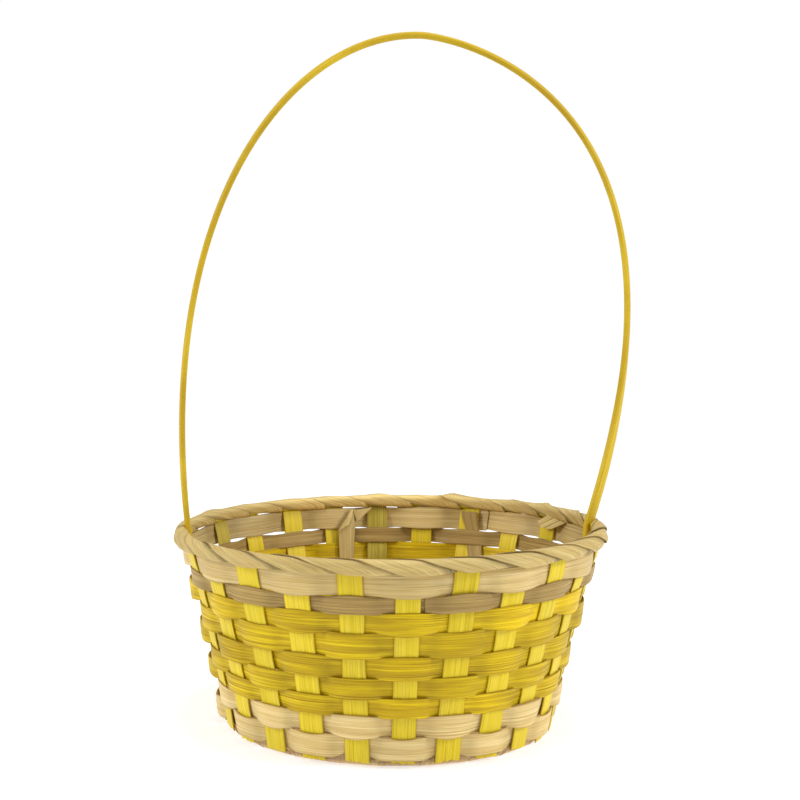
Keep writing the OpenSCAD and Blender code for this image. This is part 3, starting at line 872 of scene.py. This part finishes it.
def build_base(i, way):
    """Strip i of the base mat, one way or the other, with both its ends turned up."""
    rng = np.random.default_rng(400 + 10 * way + i)
    parity = 1 if (i + way * BASE_STRIPS) % 2 == 0 else -1
    right, right_side = base_half(i, parity, TAB_TOP - rng.random())
    left = mirrored(right) * MIRROR
    # The mat's wave is odd about the middle, because the crossings alternate
    in_mat = slice(len(left) - (MAT_STATIONS - 1), None)
    left[in_mat, 2] = 2 * MAT_MIDDLE - left[in_mat, 2]
    path = np.concatenate([left, right])
    side = np.concatenate([mirrored(right_side) * MIRROR, right_side])
    tangent = unit(np.gradient(path, axis=0))
    normal = unit(np.cross(tangent, side))
    narrow = smooth((right[:, 2] - NARROW_FROM) / NARROW_OVER)
    fold = smooth((right[:, 0] - TAB_RADIUS + FOLD_FROM) / FOLD_OVER) * (1 - narrow)
    half = (BASE_HALF_WIDTH + (FOLD_HALF_WIDTH - BASE_HALF_WIDTH) * fold
            - (BASE_HALF_WIDTH - TAB_HALF_WIDTH) * narrow)
    half = np.concatenate([mirrored(half), half])
    where = lengths(path)
    lower = half + wander(rng, where, 12.0, 0.15)
    upper = half + wander(rng, where, 12.0, 0.15)
    turn = math.radians(MAT_TURN + 90 * way)
    spin = np.array([[math.cos(turn), math.sin(turn), 0], [-math.sin(turn), math.cos(turn), 0], [0, 0, 1]])
    tone = rng.normal(1.0, 0.04) * (1 + wander(rng, where, 30.0, 0.03))
    # Painted shade where the strip goes up behind the lowest row
    tone = tone * (1 - FOLD_SHADE * smooth((path[:, 2] - SHADE_FROM) / SHADE_OVER))
    node = f"base_{'ab'[way]}{i + 1}"
    strip = splint(path @ spin, side @ spin, normal @ spin, lower, upper, BASE_THICKNESS, crown=0.0,
                   tone=tone, start_cut=straight_cut(0.4), end_cut=straight_cut(0.4), seed=i)
    make_piece(f"{node}_splint", [strip], base, [node], seed=90 + 10 * way + i)


for way in (0, 1):
    for i in range(BASE_STRIPS):
        build_base(i, way)


# ---------------------------------------------------------------- handle
LEG_PARED_TOP = ROW_SPAN[2][1] + 0.4
# The arch in its own plane: two curves that meet at the top, as (sideways, height)
APEX = (11.0, HANDLE_TOP)
LEFT_ARCH = ((-118.6, 117.3), (-139.1, 299.8), (-61.6, HANDLE_TOP), APEX)
RIGHT_ARCH = ((116.0, 115.4), (191.2, 373.0), (28.5, HANDLE_TOP), APEX)
ARCH_STATIONS = 70
LEG_STATIONS = 12
JOIN_STATIONS = 8
HANDLE_HALF_WIDTH = 3.0
# The handle thickens over this height at the top of its pared ends
PARED_OVER = 14
# How far the splint is turned toward the front, in degrees: at its left foot, how much more from the top
# on, and how much more again a little above its right foot
TWIST_LEFT = 7.5
TWIST_TOP = 13.5
TWIST_RIGHT = 36
# That last turn comes and goes between these distances from the right end
TWIST_STARTS = 170
TWIST_FULL = 60
UNTWIST_STARTS = 52
UNTWIST_FULL = 28


def bezier(corners, t):
    """Points at t on the curve with these four corners."""
    a, b, c, d = (np.array(p, dtype=float) for p in corners)
    t = t[:, None]
    return a * (1 - t) ** 3 + 3 * b * t * (1 - t) ** 2 + 3 * c * t ** 2 * (1 - t) + d * t ** 3


def leg(sign, foot):
    """The pared end inside the weave, from its tip up to the rim."""
    z = np.linspace(HANDLE_END + 0.3, LEG_PARED_TOP, LEG_STATIONS)
    inset = STAKE_THICKNESS / 2 + SLIP + LEG_THICKNESS / 2
    lying = np.stack([sign * (wall_radius(z) - inset), z], axis=-1)
    f = np.linspace(0, 1, JOIN_STATIONS + 2)[1:-1]
    sideways = lying[-1, 0] * (1 - smooth(f)) + foot[0] * smooth(f)
    height = lying[-1, 1] * (1 - f) + foot[1] * f
    return np.concatenate([lying, np.stack([sideways, height], axis=-1)])


def build_handle():
    """The handle: one bent splint from pared end to pared end."""
    rng = np.random.default_rng(500)
    t = np.linspace(0, 1, ARCH_STATIONS)
    left = bezier(LEFT_ARCH, t)
    right = bezier(RIGHT_ARCH, t)[::-1]
    path = np.concatenate([leg(-1, LEFT_ARCH[0]), left, right[1:], leg(1, RIGHT_ARCH[0])[::-1]])
    plane = out(np.array(HANDLE_PLANE))
    across = along(np.array(HANDLE_PLANE))
    centre = plane * path[:, :1] + UP * path[:, 1:]
    tangent = unit(np.gradient(centre, axis=0))
    flat_normal = unit(np.cross(tangent, across))
    where = lengths(path)
    from_end = where[-1] - where
    over_top = smooth((where / where[-1] - 0.2) / 0.3)
    near_foot = smooth((TWIST_STARTS - from_end) / (TWIST_STARTS - TWIST_FULL))
    near_foot = near_foot * (1 - smooth((UNTWIST_STARTS - from_end) / (UNTWIST_STARTS - UNTWIST_FULL)))
    twist = np.radians(TWIST_LEFT + TWIST_TOP * over_top + TWIST_RIGHT * near_foot)
    side = across * np.cos(twist)[:, None] + flat_normal * np.sin(twist)[:, None]
    normal = unit(np.cross(tangent, side))
    full = smooth((path[:, 1] - LEG_PARED_TOP + 2) / PARED_OVER)
    thickness = LEG_THICKNESS + (HANDLE_THICKNESS - LEG_THICKNESS) * full
    half = HANDLE_HALF_WIDTH + wander(rng, where, 60.0, 0.12)
    strip = splint(centre, side, normal, half, half, thickness, crown=0.25,
                   tone=1 + wander(rng, where, 50.0, 0.04), start_cut=straight_cut(0.3, 1.0),
                   end_cut=straight_cut(0.3, 1.0), seed=7)
    make_piece("handle_splint", [strip], cane, ["handle"], settle=False, seed=120)


build_handle()


# ---------------------------------------------------------------- stage, light and camera
# Radii of the floor's rings in metres, and how pale and how bright in itself it is
FLOOR_RADII = (0.5, 1.1)
FLOOR_SIDES = 96
FLOOR_GREY = 0.6
FLOOR_GLOW = 0.58
# The lights: name, place and size in metres, and power in watts. They all aim at the same place
LIGHT_AIM = (0, 0, 0.08)
LIGHTS = (("key", (2.2, -0.5, 1.3), 0.7, 35), ("fill", (-2.2, -0.5, 1.2), 0.7, 29),
          ("top", (0.1, -0.3, 2.2), 0.8, 20))
# Strength of the white surroundings: as a light, and as they are seen
WORLD_LIGHT = 0.46
WORLD_SEEN = 1.02
# The camera stands a little higher than the rim and looks slightly down, rolled by about a degree
CAMERA_PLACE = (0.0, -0.87278, 0.24728)
CAMERA_PITCH = 3.890
CAMERA_ROLL = 1.112
CAMERA_LENS = 67.82
CAMERA_SHIFT = 0.00716


def build_floor():
    """A pale disc, just under the basket."""
    a = np.linspace(0, 2 * math.pi, FLOOR_SIDES + 1)[:-1]
    points = [(0.0, 0.0, 0.0)] + [(r * math.cos(t), r * math.sin(t), 0.0) for r in FLOOR_RADII for t in a]
    n = FLOOR_SIDES
    faces = [(0, 1 + i, 1 + (i + 1) % n) for i in range(n)]
    faces += [(1 + i, 1 + n + i, 1 + n + (i + 1) % n, 1 + (i + 1) % n) for i in range(n)]
    mesh = bpy.data.meshes.new("floor")
    mesh.from_pydata(points, [], faces)
    material = bpy.data.materials.new("floor_paper")
    nodes = Nodes(material)
    grain = nodes.add("TexNoise", {"Scale": 40.0, "Detail": 2.0}).outputs["Fac"]
    nodes.tree.links.new(nodes.remap(grain, 0.3, 0.7, 0.75, 0.85), nodes.shader.inputs["Roughness"])
    nodes.shader.inputs["Base Color"].default_value = (FLOOR_GREY, FLOOR_GREY, FLOOR_GREY, 1)
    nodes.shader.inputs["Emission Color"].default_value = (1, 1, 1, 1)
    nodes.shader.inputs["Emission Strength"].default_value = FLOOR_GLOW
    nodes.shader.inputs["Specular IOR Level"].default_value = 0.1
    mesh.materials.append(material)
    floor = bpy.data.objects.new("floor", mesh)
    floor.location.z = -0.0002
    bpy.context.scene.collection.objects.link(floor)


def put(name, data, axes, place):
    """An object in the scene with these axes, at this place in metres."""
    holder = bpy.data.objects.new(name, data)
    bpy.context.scene.collection.objects.link(holder)
    rows = np.stack(axes, axis=1).tolist()
    holder.matrix_world = Matrix([[*row, p] for row, p in zip(rows, place)] + [[0, 0, 0, 1]])
    return holder


def area_light(name, place, size, power):
    """A round lamp that faces LIGHT_AIM."""
    light = bpy.data.lights.new(name, "AREA")
    light.shape = "DISK"
    light.size = size
    light.energy = power
    z = unit(np.array(place) - np.array(LIGHT_AIM))
    x = unit(np.cross(UP, z))
    put(name, light, (x, np.cross(z, x), z), place)


def build_light():
    """Three soft lamps and white surroundings."""
    for light in LIGHTS:
        area_light(*light)
    world = bpy.data.worlds.new("studio")
    bpy.context.scene.world = world
    world.use_nodes = True
    tree = world.node_tree
    background = tree.nodes["Background"]
    background.inputs["Color"].default_value = (1, 1, 1, 1)
    seen = tree.nodes.new("ShaderNodeLightPath")
    strength = tree.nodes.new("ShaderNodeMapRange")
    strength.inputs["To Min"].default_value = WORLD_LIGHT
    strength.inputs["To Max"].default_value = WORLD_SEEN
    tree.links.new(seen.outputs["Is Camera Ray"], strength.inputs["Value"])
    tree.links.new(strength.outputs[0], background.inputs["Strength"])
    bpy.context.scene.view_settings.view_transform = "Standard"


def build_camera():
    """The camera, turned by its pitch and its roll."""
    pitch, roll = math.radians(CAMERA_PITCH), math.radians(CAMERA_ROLL)
    level = np.array([1.0, 0.0, 0.0])
    upright = np.array([0.0, math.sin(pitch), math.cos(pitch)])
    forward = np.array([0.0, math.cos(pitch), -math.sin(pitch)])
    right = math.cos(roll) * level + math.sin(roll) * upright
    up = -math.sin(roll) * level + math.cos(roll) * upright
    data = bpy.data.cameras.new("camera")
    data.sensor_width = 36.0
    data.lens = CAMERA_LENS
    data.shift_x = CAMERA_SHIFT
    data.clip_start = 0.01
    bpy.context.scene.camera = put("camera", data, (right, up, -forward), CAMERA_PLACE)


build_floor()
build_light()
build_camera()
